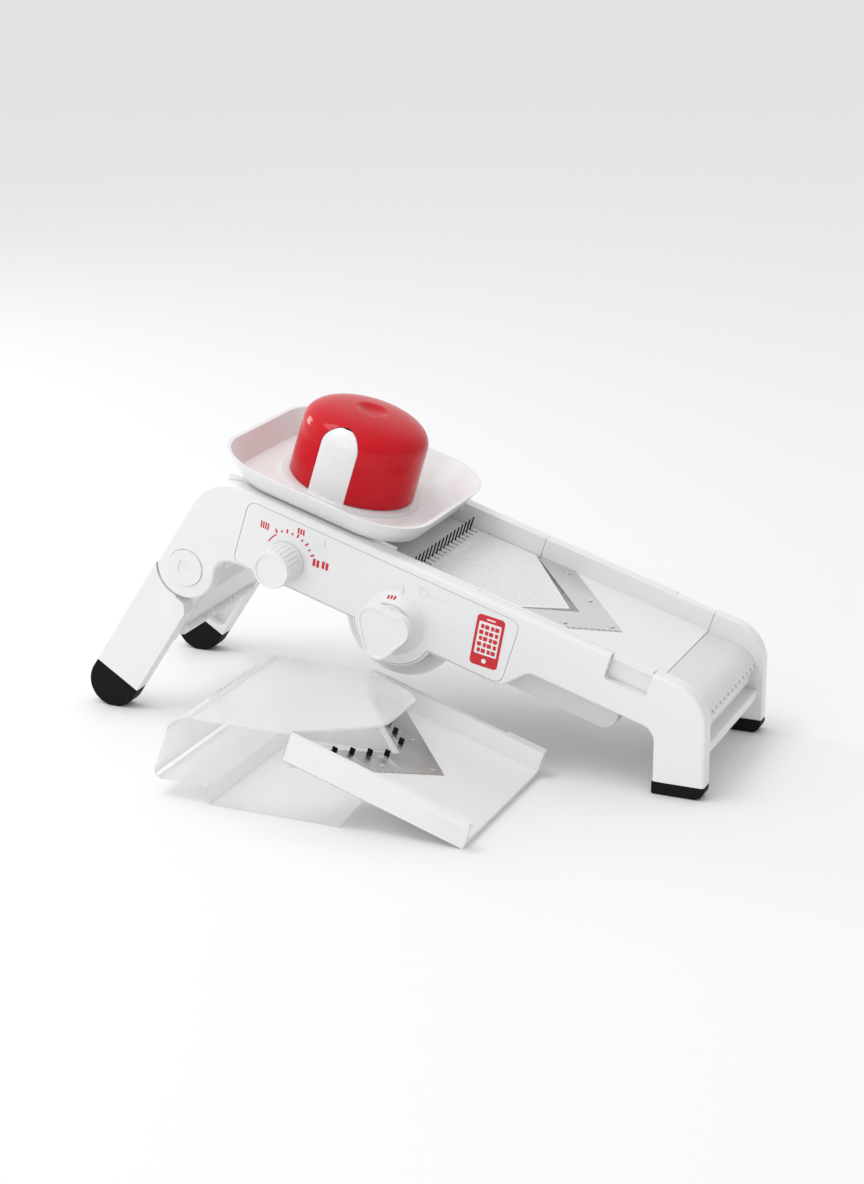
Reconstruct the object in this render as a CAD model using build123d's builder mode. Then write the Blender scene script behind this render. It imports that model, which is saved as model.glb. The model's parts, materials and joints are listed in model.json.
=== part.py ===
from build123d import *
import os
from math import cos, degrees, pi, radians, sin, sqrt, tan

# Mandoline slicer on a folding stand, with its food holder, a spare blade insert and that insert's guard.
# Millimetres. X = 0 is the front face of the low end and X falls towards the high end, Y = 0 is the middle of
# the width with the control side at -Y, and Z = 0 is the table.
# "u" is the distance up the slope from the low end, and "h" the height square to the rims (rims at h = 0).

# ---- where the slicer stands in the shared frame (origin under the middle of the whole set)
front_x = 204.1
middle_y = 54.55

# ---- overall sizes
slope = 17.1
front_height = 64.0
body_width = 128.0
wall = 10.0
fit_gap = 0.3
shaft_gap = 0.08

# ---- side frames
wall_bottom = -48.5
cut_bottom = -33.0
cut_front_u = 104.0
cut_rear_u = 118.0
nose_radius = 26.0
shoulder_radius = 30.0
edge_round = 2.0
leg_depth = 31.5
front_foot_height = 8.0
cavity_front_u = 166.0
cavity_rear_u = 298.0
cavity_top = -4.0
cavity_width = 3.5
inner_skin = 2.5

# ---- deck and insert
deck_depth = 12.6
deck_thickness = 3.0
insert_front_u = 34.0
insert_length = 116.0
insert_wall = 3.7
insert_wall_height = 17.0
notch_length = 27.0
notch_depth = 15.5
flange_reach = 2.9
flange_thickness = 3.0
v_end_margin = 0.62
blade_tip = 39.0
blade_edge = 68.0
blade_seat_edge = 63.0
blade_rib_thickness = 2.0
blade_rib_depth = 9.5
blade_thickness = 1.0
blade_recess = 0.4
serration_pitch = 3.0
serration_radius = 0.9
serration_count = 11
rivet_radius = 1.8
rivet_shank = 1.2
rivet_head = 0.6
rivet_set = 9.0
rivet_tip_set = 7.0
rivet_middle = 22.0
rivet_outer_gap = 7.0

# ---- ramp
ramp_v_gap = 6.4
ramp_v_slope = 0.84
ramp_thickness = 2.5
ramp_side_gap = 0.6
ramp_skirt = 8.0
ramp_skirt_thickness = 2.0
hinge_u = 303.0
hinge_radius = 4.0
hinge_pin_radius = 2.0
hinge_pin_reach = 5.0
ramp_drop_angle = 2.6

# ---- thickness dial
dial_u = 270.0
dial_h = -32.5
dial_radius = 11.4
dial_length = 19.5
dial_shaft_radius = 3.0
dial_turn = 270.0
cam_radius = 9.0
cam_width = 8.0
cam_y = -37.0

# ---- julienne selector
selector_u = 192.5
selector_h = -39.0
selector_shaft_radius = 4.0
selector_knob_radius = 18.0
knob_corner = 9.5
selector_reach = 20.0
pinion_teeth = 12
pinion_module = 1.2
tine_u = 198.0
tine_pitch = 6.0
tine_count = 17
tine_height = 8.9
tine_width = 1.0
tine_depth = 0.8
housing_radius = 37.5
housing_wall = 1.5
housing_half_width = 51.0
housing_top = -30.0

# ---- control panel
panel_front_u = 118.0
panel_rear_u = 303.0
panel_top = -5.0
panel_bottom = -47.2
panel_thickness = 2.0
panel_corner = 6.0
panel_bulge_radius = 26.5
boss_height = 8.0
boss_radius = 20.0
boss_taper = 32.0
pointer_length = 14.0
pointer_width = 2.2

# ---- rear legs
leg_lean = 32.7
pivot_u = 332.0
pivot_h = -65.0
lobe_radius = 20.0
rear_edge = 18.0
front_edge = 15.0
leg_thickness = 12.5
hub_radius = 18.0
hub_inner = 46.0
pin_radius = 5.0
foot_start = 93.4
foot_flat = 0.3
crossbar_start = 7.0
crossbar_end = 42.5
crossbar_thickness = 3.0
grip_radius = 4.5
pivot_cap_radius = 11.7

# ---- food holder
holder_u = 266.0
tray_floor = 3.5
tray_thickness = 2.5
tray_rim = 17.5
tray_half_length = 69.0
tray_overhang = 10.0
tray_base_half_length = 60.0
tray_base_reach = 4.0
sleeve_inner = 33.0
sleeve_outer = 36.5
sleeve_bottom = -2.0
sleeve_top = 42.0
cap_radius = 40.0
cap_wall = 2.8
cap_bottom = 6.5
cap_shoulder = 40.0
cap_top = 55.5
arch_half_width = 12.5
arch_centre = 38.0
arch_depth = 20.0
stem_radius = 14.0
boss_bottom = 46.0
pusher_top = 6.0
pusher_bottom = 2.0
prong_tip = -2.9

# ---- spare insert and guard
spare_tilt = 17.9
spare_low_x = -97.0
spare_gap = 0.8
guard_top = 52.0
guard_sheet = 1.2
guard_back = 298.0
guard_step_back = 262.0
guard_step_height = 10.0
guard_corner = 10.0
tongue_corner = 8.0

# ---- worked out from the sizes above
half_width = body_width / 2
inner_face = half_width - wall
deck_h = -deck_depth
up_slope = Vector(-cos(radians(slope)), 0, sin(radians(slope)))
square_up = Vector(sin(radians(slope)), 0, cos(radians(slope)))
rim_origin = Vector(front_x, middle_y, front_height)
spare_y = -(half_width + spare_gap + inner_face + insert_wall)
seat_face = inner_face + insert_wall + fit_gap
v_slope = (insert_length - v_end_margin - blade_seat_edge) / inner_face
hinge_h = deck_h - hinge_radius
ramp_half_width = inner_face - ramp_side_gap
ramp_v_u = insert_front_u + blade_edge + ramp_v_gap
pinion_radius = pinion_teeth * pinion_module / 2
holder_centre = rim_origin + up_slope * holder_u
tray_half_width = half_width + tray_overhang
tray_base_half_width = inner_face + tray_base_reach
pivot_height = front_height + pivot_u * sin(radians(slope)) + pivot_h * cos(radians(slope))
pivot_x = front_x - pivot_u * cos(radians(slope)) + pivot_h * sin(radians(slope))

os.makedirs("parts", exist_ok=True)


def side_plane(y):
    """Upright plane along the slicer: x runs up the slope (u), y is square to the rims (h)."""
    return Plane(origin=(front_x, middle_y + y, front_height), x_dir=up_slope, z_dir=(0, 1, 0))


def deck_plane(h):
    """Plane parallel to the deck at height h: x runs up the slope, y to the control side."""
    return Plane(origin=rim_origin + square_up * h, x_dir=up_slope, z_dir=square_up)


def upright_plane(y):
    """Upright plane: x is the distance back from the front face, y is the height above the table."""
    return Plane(origin=(front_x, middle_y + y, 0), x_dir=(-1, 0, 0), z_dir=(0, 1, 0))


def leg_plane(y):
    """Plane of a rear leg: x runs down the leg from the pivot, y to its rear edge."""
    lean = radians(leg_lean)
    return Plane(origin=(pivot_x, middle_y + y, pivot_height), x_dir=(-sin(lean), 0, -cos(lean)), z_dir=(0, 1, 0))


def on_slope(back, height):
    """u and h of a point given by its distance back from the front face and its height."""
    rise = height - front_height
    tilt = radians(slope)
    return (back * cos(tilt) + rise * sin(tilt), rise * cos(tilt) - back * sin(tilt))


def save(builder, name):
    """Labels a finished piece and writes its STEP file."""
    builder.part.label = name
    export_step(builder.part, f"parts/{name}.step")


def near_vertex(sketch, point):
    """The vertex of a sketch that lies closest to a point given in the sketch's own plane."""
    return min(sketch.vertices(), key=lambda v: (v.X - point[0]) ** 2 + (v.Y - point[1]) ** 2)


# ============================================================ side frames
rear_angle = radians(leg_lean - slope)
rear_dir = (sin(rear_angle), -cos(rear_angle))
rear_out = (cos(rear_angle), sin(rear_angle))


def rear_line(along, out=0.0):
    """A point on the cheek's rear edge: along it from beside the pivot (down positive), and out from it."""
    u = pivot_u + (rear_edge + out) * rear_out[0] + along * rear_dir[0]
    h = pivot_h + (rear_edge + out) * rear_out[1] + along * rear_dir[1]
    return (u, h)


def side_frame(side):
    """One long side wall with its rim, rear cheek and front leg; side is -1 (controls) or +1."""
    outer = side * half_width
    inner = side * inner_face
    rear_up = -(pivot_h + rear_edge * rear_out[1]) / rear_dir[1]
    leg_corner_height = front_height + (cut_bottom + leg_depth * sin(radians(slope))) / cos(radians(slope))
    with BuildPart() as frame:
        with BuildSketch(side_plane(outer)) as outline:
            with BuildLine():
                Polyline(
                    on_slope(0, front_foot_height),
                    (0, 0),
                    rear_line(rear_up),
                    rear_line(sqrt(lobe_radius**2 - rear_edge**2)),
                    (pivot_u, pivot_h),
                    (pivot_u, wall_bottom),
                    (cut_rear_u, wall_bottom),
                    (cut_front_u, cut_bottom),
                    on_slope(leg_depth, leg_corner_height),
                    on_slope(leg_depth, front_foot_height),
                    close=True,
                )
            make_face()
            with Locations((pivot_u, pivot_h)):
                Circle(lobe_radius)
            with Locations(rear_line(0)):
                Rectangle(
                    60, 200, rotation=degrees(rear_angle),
                    align=(Align.MIN, Align.CENTER), mode=Mode.SUBTRACT,
                )
            lobe_meet = pivot_u - sqrt(lobe_radius**2 - (wall_bottom - pivot_h) ** 2)
            fillet(near_vertex(outline, (0, 0)), nose_radius)
            fillet(near_vertex(outline, rear_line(rear_up)), shoulder_radius)
            fillet(near_vertex(outline, (lobe_meet, wall_bottom)), 10)
            fillet(near_vertex(outline, (cut_rear_u, wall_bottom)), 7)
            fillet(near_vertex(outline, (cut_front_u, cut_bottom)), 7)
            fillet(near_vertex(outline, on_slope(leg_depth, leg_corner_height)), 10)
            with Locations((selector_u, selector_h)):
                if side < 0:
                    Circle(panel_bulge_radius + 1.5)
        extrude(amount=-side * wall)
        outer_edges = frame.faces().sort_by(Axis.Y)[0 if side < 0 else -1].edges()
        fillet(outer_edges.filter_by(lambda edge: edge.center().Z > front_foot_height + 1), edge_round)
        # the insert's seat along the inner face, open at the top
        with BuildSketch(side_plane(inner)):
            with Locations((insert_front_u - fit_gap, 1)):
                Rectangle(
                    insert_length + 2 * fit_gap,
                    insert_wall_height + fit_gap + 1,
                    align=(Align.MIN, Align.MAX),
                )
        extrude(amount=side * (seat_face - inner_face), mode=Mode.SUBTRACT)
        # the grip notch, right through the wall
        with BuildSketch(side_plane(inner)) as notch:
            with Locations((insert_front_u - fit_gap, 1)):
                Rectangle(notch_length + fit_gap, notch_depth + 1, align=(Align.MIN, Align.MAX))
            fillet(near_vertex(notch, (insert_front_u + notch_length, -notch_depth)), 3)
        extrude(amount=side * wall, mode=Mode.SUBTRACT)
        # the hollow inside the wall, open underneath
        with BuildSketch(side_plane(inner + side * inner_skin)):
            with Locations((cavity_front_u, cavity_top)):
                Rectangle(cavity_rear_u - cavity_front_u, 80, align=(Align.MIN, Align.MAX))
        extrude(amount=side * cavity_width, mode=Mode.SUBTRACT)
        # bearings for the leg pins, the dial shaft and the ramp's hinge pins
        with BuildSketch(side_plane(inner)):
            with Locations((pivot_u, pivot_h)):
                Circle(pin_radius + shaft_gap)
            with Locations((dial_u, dial_h)):
                Circle(dial_shaft_radius + shaft_gap)
        extrude(amount=side * (wall - 1.5), mode=Mode.SUBTRACT)
        with BuildSketch(side_plane(inner)):
            with Locations((hinge_u, hinge_h)):
                Circle(hinge_pin_radius + shaft_gap)
        extrude(amount=side * (hinge_pin_reach + fit_gap), mode=Mode.SUBTRACT)
        # the shallow well for the pivot cap
        with BuildSketch(side_plane(outer)):
            with Locations((pivot_u, pivot_h)):
                Circle(pivot_cap_radius + fit_gap)
        extrude(amount=-side * 1.5, mode=Mode.SUBTRACT)
        if side < 0:
            with BuildSketch(side_plane(outer)):
                panel_outline(0)
            extrude(amount=panel_thickness, mode=Mode.SUBTRACT)
            with BuildSketch(side_plane(outer)):
                with Locations((dial_u, dial_h)):
                    Circle(dial_shaft_radius + shaft_gap)
                with Locations((selector_u, selector_h)):
                    Circle(selector_shaft_radius + shaft_gap)
            extrude(amount=wall, mode=Mode.SUBTRACT)
    return frame


def panel_outline(inset):
    """Face of the control panel on the side plane, inset by a gap: a rounded slab with a round bulge."""
    length = panel_rear_u - panel_front_u - 2 * inset
    height = panel_top - panel_bottom - 2 * inset
    with Locations(((panel_front_u + panel_rear_u) / 2, (panel_top + panel_bottom) / 2)):
        RectangleRounded(length, height, panel_corner - inset)
    with Locations((selector_u, selector_h)):
        Circle(panel_bulge_radius - inset)


near_side_frame = side_frame(-1)
save(near_side_frame, "near_side_frame")
far_side_frame = side_frame(1)
save(far_side_frame, "far_side_frame")

# ============================================================ control panel on the near wall
panel_face = -half_width
with BuildPart() as control_panel:
    with BuildSketch(side_plane(panel_face)):
        panel_outline(fit_gap)
    extrude(amount=panel_thickness)
    # flared boss that carries the selector
    with BuildSketch(side_plane(panel_face)):
        with Locations((selector_u, selector_h)):
            Circle(boss_radius)
    extrude(amount=-boss_height, taper=boss_taper)
    # pointer bar and a small setting mark
    with BuildSketch(side_plane(panel_face)):
        with Locations((selector_u + 1, selector_h + 18)):
            SlotOverall(pointer_length, pointer_width, rotation=86)
        with Locations((dial_u - 21, panel_top - 6)):
            SlotOverall(4, 1.6, rotation=80)
    extrude(amount=-1.0)
    with BuildSketch(side_plane(panel_face)):
        with Locations((selector_u - 12, panel_top - 7)):
            Circle(3.2)
            Circle(2.4, mode=Mode.SUBTRACT)
    extrude(amount=-0.5)
    with BuildSketch(side_plane(panel_face + panel_thickness)):
        with Locations((dial_u, dial_h)):
            Circle(dial_shaft_radius + shaft_gap)
        with Locations((selector_u, selector_h)):
            Circle(selector_shaft_radius + shaft_gap)
    extrude(amount=-30, mode=Mode.SUBTRACT)
save(control_panel, "control_panel")

# ============================================================ crosspieces and the front end
strip_front = 8.2
strip_back = 14.0
strip_top = 45.5
groove_top = 33.0
groove_bottom = 28.5
groove_back = 11.0
lower_bar_front = 3.0
lower_bar_bottom = 22.5
with BuildPart() as front_crosspiece:
    with BuildSketch(upright_plane(-inner_face)):
        with BuildLine():
            Polyline(
                (strip_front, strip_top),
                (strip_front, groove_top),
                (groove_back, groove_top),
                (groove_back, groove_bottom),
                (lower_bar_front, groove_bottom),
                (lower_bar_front, lower_bar_bottom),
                (strip_back, lower_bar_bottom),
                (strip_back, strip_top),
                close=True,
            )
        make_face()
    extrude(amount=2 * inner_face)
save(front_crosspiece, "front_crosspiece")

plate_front = 3.0
plate_radius = 20.0
plate_thickness = 2.5
plate_bottom = 34.0
comb_top = 46.0
comb_bottom = 43.2
comb_gaps = 14
comb_gap_width = 3.2


def deck_height_at(back, h):
    """Height above the table of the plane h at a distance back from the front face."""
    return front_height + (h + back * sin(radians(slope))) / cos(radians(slope))


with BuildPart() as end_plate:
    with BuildSketch(side_plane(-inner_face)) as plate:
        inner_back = plate_front + plate_thickness
        top_corner = on_slope(plate_front, deck_height_at(plate_front, deck_h))
        under_corner = on_slope(inner_back, deck_height_at(inner_back, deck_h - plate_thickness))
        with BuildLine():
            Polyline(
                (insert_front_u - fit_gap, deck_h),
                top_corner,
                on_slope(plate_front, plate_bottom),
                on_slope(inner_back, plate_bottom),
                under_corner,
                (insert_front_u - fit_gap, deck_h - plate_thickness),
                close=True,
            )
        make_face()
        fillet(near_vertex(plate, top_corner), plate_radius)
        fillet(near_vertex(plate, under_corner), plate_radius - plate_thickness)
    extrude(amount=2 * inner_face)
    with BuildSketch(upright_plane(-inner_face)):
        with Locations((0, comb_bottom)):
            Rectangle(30, 20, align=(Align.MIN, Align.MAX))
    extrude(amount=2 * inner_face, mode=Mode.SUBTRACT)
    with BuildSketch(Plane.XY.offset(comb_bottom)):
        with Locations((front_x - 7, middle_y)):
            with GridLocations(1, 2 * inner_face / comb_gaps, 1, comb_gaps):
                Rectangle(12, comb_gap_width)
    extrude(amount=comb_top - comb_bottom, mode=Mode.SUBTRACT)
save(end_plate, "end_plate")

rear_tie_u = 309.0
rear_tie_end = 325.0
rear_tie_bottom = -41.0
rear_tie_sheet = 3.0
with BuildPart() as rear_crosspiece:
    with BuildSketch(side_plane(-inner_face)):
        with BuildLine():
            Polyline(
                (rear_tie_u, deck_h),
                (rear_tie_end, deck_h),
                (rear_tie_end, rear_tie_bottom),
                (rear_tie_end - rear_tie_sheet, rear_tie_bottom),
                (rear_tie_end - rear_tie_sheet, deck_h - rear_tie_sheet),
                (rear_tie_u, deck_h - rear_tie_sheet),
                close=True,
            )
        make_face()
    extrude(amount=2 * inner_face)
save(rear_crosspiece, "rear_crosspiece")

mid_tie_u = 244.0
mid_tie_h = -37.0
mid_tie_length = 9.0
mid_tie_height = 8.0
mid_tie_wall = 2.0
with BuildPart() as mid_crosspiece:
    with BuildSketch(side_plane(-inner_face)):
        with Locations((mid_tie_u, mid_tie_h)):
            RectangleRounded(mid_tie_length, mid_tie_height, 1.5)
            RectangleRounded(
                mid_tie_length - 2 * mid_tie_wall, mid_tie_height - 2 * mid_tie_wall, 0.8, mode=Mode.SUBTRACT
            )
    extrude(amount=2 * inner_face)
save(mid_crosspiece, "mid_crosspiece")

# ============================================================ selector housing: round belly under the deck
with BuildPart() as selector_housing:
    with BuildSketch(side_plane(-housing_half_width)):
        with Locations((selector_u, selector_h)):
            Circle(housing_radius)
        with Locations((selector_u, housing_top)):
            Rectangle(100, 60, align=(Align.CENTER, Align.MIN), mode=Mode.SUBTRACT)
    extrude(amount=2 * housing_half_width)
    with BuildSketch(side_plane(-housing_half_width + housing_wall)):
        with Locations((selector_u, selector_h)):
            Circle(housing_radius - housing_wall)
    extrude(amount=2 * (housing_half_width - housing_wall), mode=Mode.SUBTRACT)
    # side flanges that reach the walls
    for side in (-1, 1):
        with BuildSketch(side_plane(side * housing_half_width)):
            with Locations((selector_u, housing_top - 3)):
                Rectangle(2 * sqrt(housing_radius**2 - (selector_h - housing_top) ** 2), 6)
        extrude(amount=side * (inner_face - housing_half_width))
    # guide rails for the tine carrier on the far end wall
    with BuildSketch(side_plane(housing_half_width - housing_wall)):
        for u in (tine_u - 5.5, tine_u + 9.5):
            with Locations((u, housing_top - 1)):
                Rectangle(2.4, 32, align=(Align.CENTER, Align.MAX))
    extrude(amount=-3.0)
    with BuildSketch(side_plane(-inner_face)):
        with Locations((selector_u, selector_h)):
            Circle(selector_shaft_radius + shaft_gap)
    extrude(amount=inner_face - housing_half_width + housing_wall, mode=Mode.SUBTRACT)
save(selector_housing, "selector_housing")

# ============================================================ storage box inside the near wall
box_front_u = 47.0
box_rear_u = 146.0
box_top = -30.0
box_bottom = -50.0
box_depth = 13.0
box_sheet = 2.0
box_corner = 9.0
box_middle = ((box_front_u + box_rear_u) / 2, (box_top + box_bottom) / 2)
box_length = box_rear_u - box_front_u
box_height = box_top - box_bottom
with BuildPart() as storage_box:
    with BuildSketch(side_plane(-inner_face)):
        with Locations(box_middle):
            RectangleRounded(box_length, box_height, box_corner)
    extrude(amount=box_depth)
    with BuildSketch(side_plane(-inner_face + box_sheet)):
        with Locations(box_middle):
            RectangleRounded(box_length - 2 * box_sheet, box_height - 2 * box_sheet, box_corner - box_sheet)
    extrude(amount=box_depth, mode=Mode.SUBTRACT)
save(storage_box, "storage_box")


# ============================================================ blade inserts
def seat(origin, tilt, h):
    """Plane parallel to an insert's deck at height h over its rims; x runs up the insert from its low end."""
    run = Vector(-cos(radians(tilt)), 0, sin(radians(tilt)))
    rise = Vector(sin(radians(tilt)), 0, cos(radians(tilt)))
    return Plane(origin=Vector(*origin) + rise * h, x_dir=run, z_dir=rise)


def v_points(offset, reach, limit):
    """Half of a V edge: the point on the middle line and the one at the reach, no further up than limit."""
    end = min(offset + v_slope * reach, limit)
    return (offset, 0), (end, (end - offset) / v_slope)


def insert_body(origin, tilt):
    """An insert's frame: floor with a V opening, two side walls, grip flanges and a front apron."""
    floor_half = inner_face + insert_wall
    open_end = blade_seat_edge + v_slope * inner_face
    with BuildPart() as body:
        with BuildSketch(seat(origin, tilt, deck_h)):
            with BuildLine():
                Polyline(
                    (0, -floor_half), (open_end, -floor_half), (open_end, -inner_face), (blade_seat_edge, 0),
                    (open_end, inner_face), (open_end, floor_half), (0, floor_half), close=True,
                )
            make_face()
        extrude(amount=-deck_thickness)
        for side in (-1, 1):
            with BuildSketch(seat(origin, tilt, 0)):
                with Locations((0, side * (inner_face + insert_wall / 2))):
                    Rectangle(insert_length, insert_wall, align=(Align.MIN, Align.CENTER))
            extrude(amount=-insert_wall_height)
            with BuildSketch(seat(origin, tilt, 0)):
                with Locations((0.4, side * (floor_half + flange_reach / 2))):
                    Rectangle(notch_length - 1.2, flange_reach, align=(Align.MIN, Align.CENTER))
            extrude(amount=-flange_thickness)
        with BuildSketch(seat(origin, tilt, deck_h)):
            with Locations((1.5, 0)):
                Rectangle(3, 2 * floor_half)
        extrude(amount=-(insert_wall_height - deck_depth))
        # the rib that stiffens the V edge from below
        with BuildSketch(seat(origin, tilt, deck_h)):
            rib_end = open_end - 0.4 * v_slope
            rib_half = inner_face - 0.4
            Polygon(
                (blade_seat_edge, 0), (rib_end, rib_half), (rib_end - blade_rib_thickness * 1.4, rib_half),
                (blade_seat_edge - blade_rib_thickness * 1.4, 0),
                (rib_end - blade_rib_thickness * 1.4, -rib_half), (rib_end, -rib_half), align=None,
            )
        extrude(amount=-blade_rib_depth)
        # the blade's bed
        with BuildSketch(seat(origin, tilt, deck_h)):
            blade_outline()
        extrude(amount=-blade_recess, mode=Mode.SUBTRACT)
        with BuildSketch(seat(origin, tilt, deck_h)):
            with Locations(*rivet_places):
                Circle(rivet_shank)
        extrude(amount=-deck_thickness, mode=Mode.SUBTRACT)
    return body


blade_half = inner_face - fit_gap - 0.2
blade_limit = insert_length - 1.0
rivet_places = [(blade_tip + rivet_tip_set, 0)]
for rivet_reach in (rivet_middle, inner_face - rivet_outer_gap):
    rivet_u = blade_tip + v_slope * rivet_reach + rivet_set
    rivet_places += [(rivet_u, rivet_reach), (rivet_u, -rivet_reach)]


def blade_outline():
    """Chevron blade seen from above: cutting edge up the slope, back edge down the slope."""
    back_tip, back_end = v_points(blade_tip, blade_half, blade_limit)
    edge_tip, edge_end = v_points(blade_edge, blade_half, blade_limit)
    Polygon(
        back_tip, back_end, (blade_limit, back_end[1]), edge_end, edge_tip,
        (edge_end[0], -edge_end[1]), (blade_limit, -back_end[1]), (back_end[0], -back_end[1]),
        align=None,
    )


def insert_blade(origin, tilt, teeth):
    """The steel V blade; with teeth it also carries upright julienne teeth behind its edge."""
    with BuildPart() as blade:
        with BuildSketch(seat(origin, tilt, deck_h - blade_recess)):
            blade_outline()
        extrude(amount=blade_thickness)
        with BuildSketch(seat(origin, tilt, deck_h - blade_recess)):
            with Locations(*rivet_places):
                Circle(rivet_shank)
            # scallops along the back edge on the control side
            for k in range(serration_count):
                reach = serration_pitch * (k + 1)
                with Locations((blade_tip + v_slope * reach, reach)):
                    Circle(serration_radius)
        extrude(amount=blade_thickness, mode=Mode.SUBTRACT)
        if teeth:
            top = deck_h - blade_recess + blade_thickness
            for reach in (10, 18, 26, 34, 42):
                for side in (-1, 1):
                    with BuildSketch(seat(origin, tilt, top)):
                        with Locations((blade_edge + v_slope * reach - 5, side * reach)):
                            Rectangle(3.2, 0.9)
                    extrude(amount=4.0)
    return blade


def insert_rivets(origin, tilt):
    """The rivets that hold a blade down, one solid each."""
    with BuildPart() as rivets:
        with BuildSketch(seat(origin, tilt, deck_h - blade_recess + blade_thickness)):
            with Locations(*rivet_places):
                Circle(rivet_radius)
        extrude(amount=rivet_head)
        with BuildSketch(seat(origin, tilt, deck_h - blade_recess + blade_thickness)):
            with Locations(*rivet_places):
                Circle(rivet_shank)
        extrude(amount=-(deck_thickness + blade_thickness - blade_recess))
    return rivets


installed = rim_origin + up_slope * insert_front_u
installed = (installed.X, installed.Y, installed.Z)
spare_low = (front_x + spare_low_x, middle_y + spare_y, insert_wall_height * cos(radians(spare_tilt)))
save(insert_body(installed, slope), "insert_frame")
save(insert_blade(installed, slope, False), "v_blade")
save(insert_rivets(installed, slope), "blade_rivets")
save(insert_body(spare_low, spare_tilt), "spare_insert_frame")
save(insert_blade(spare_low, spare_tilt, True), "spare_blade")
save(insert_rivets(spare_low, spare_tilt), "spare_rivets")

# ============================================================ clear guard that holds the spare insert's high end
guard_half = inner_face + insert_wall
tilt_tan = tan(radians(spare_tilt))
bottom_start = -spare_low_x + insert_wall_height * sin(radians(spare_tilt))
rest_gap = 0.4


def rest_line(back):
    """Height of the guard's shoulder under the insert's walls."""
    return (back - bottom_start) * tilt_tan - rest_gap


insert_end_back = -spare_low_x + insert_length * cos(radians(spare_tilt))
insert_end_rise = spare_low[2] + insert_length * sin(radians(spare_tilt))
foot_back = insert_end_back + insert_wall_height * sin(radians(spare_tilt)) + 0.8
top_back = insert_end_back + (insert_end_rise - guard_top) * tilt_tan + 0.8
shoulder_front = -spare_low_x + 66.0
with BuildPart() as clear_guard:
    with BuildSketch(upright_plane(spare_y - guard_half)) as guard_side:
        with BuildLine():
            Polyline(
                (guard_step_back, 0),
                (guard_step_back, guard_step_height),
                (guard_back, guard_step_height + 1),
                (guard_back - 12, guard_top - 6),
                (guard_back - 24, guard_top),
                (top_back, guard_top),
                (foot_back, rest_line(foot_back)),
                (shoulder_front, rest_line(shoulder_front)),
                (shoulder_front + 15, 0),
                close=True,
            )
        make_face()
        fillet(near_vertex(guard_side, (guard_back, guard_step_height + 1)), guard_corner / 2)
        fillet(near_vertex(guard_side, (guard_back - 12, guard_top - 6)), guard_corner)
        fillet(near_vertex(guard_side, (guard_back - 24, guard_top)), guard_corner)
    extrude(amount=2 * guard_half)
    with BuildSketch(upright_plane(spare_y - guard_half + guard_sheet)) as guard_inside:
        with BuildLine():
            Polyline(
                (guard_step_back - guard_sheet, -1),
                (guard_step_back - guard_sheet, guard_step_height + guard_sheet),
                (guard_back - 1.8, guard_step_height + 1 + guard_sheet),
                (guard_back - 13, guard_top - 6.6),
                (guard_back - 24.4, guard_top - guard_sheet),
                (100, guard_top - guard_sheet),
                (100, -1),
                close=True,
            )
        make_face()
        inside_corner = guard_corner - guard_sheet
        fillet(near_vertex(guard_inside, (guard_back - 13, guard_top - 6.6)), inside_corner)
        fillet(near_vertex(guard_inside, (guard_back - 24.4, guard_top - guard_sheet)), inside_corner)
    extrude(amount=2 * (guard_half - guard_sheet), mode=Mode.SUBTRACT)
    # the tongue of the top sheet that covers the blade
    tongue_plane = Plane(origin=(front_x, middle_y + spare_y, guard_top), x_dir=(-1, 0, 0), z_dir=(0, 0, 1))
    with BuildSketch(tongue_plane) as tongue:
        with BuildLine():
            Polyline(
                (top_back + 3, -inner_face + 2), (top_back - 2, -inner_face + 2), (172, -30), (164, -20),
                (164, 20), (172, 30), (top_back - 2, inner_face - 2), (top_back + 3, inner_face - 2),
                close=True,
            )
        make_face()
        for side in (-1, 1):
            fillet(near_vertex(tongue, (164, side * 20)), tongue_corner)
            fillet(near_vertex(tongue, (172, side * 30)), tongue_corner)
    extrude(amount=-guard_sheet)
save(clear_guard, "clear_guard")

# ============================================================ front feet
for side, name in ((-1, "front_foot_near"), (1, "front_foot_far")):
    with BuildPart() as front_foot:
        with BuildSketch(upright_plane(side * half_width)) as shoe:
            Rectangle(leg_depth + 0.6, front_foot_height, align=(Align.MIN, Align.MIN))
            fillet(near_vertex(shoe, (0, 0)), 6.5)
        extrude(amount=-side * (wall + 2))
    save(front_foot, name)

# ============================================================ rear legs, one yoke
foot_radius = (rear_edge + front_edge) / 2
foot_side = (rear_edge - front_edge) / 2
lean = radians(leg_lean)
foot_reach = (pivot_height + foot_side * sin(lean) - foot_radius + foot_flat) / cos(lean)
leg_inner = half_width - leg_thickness


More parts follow.
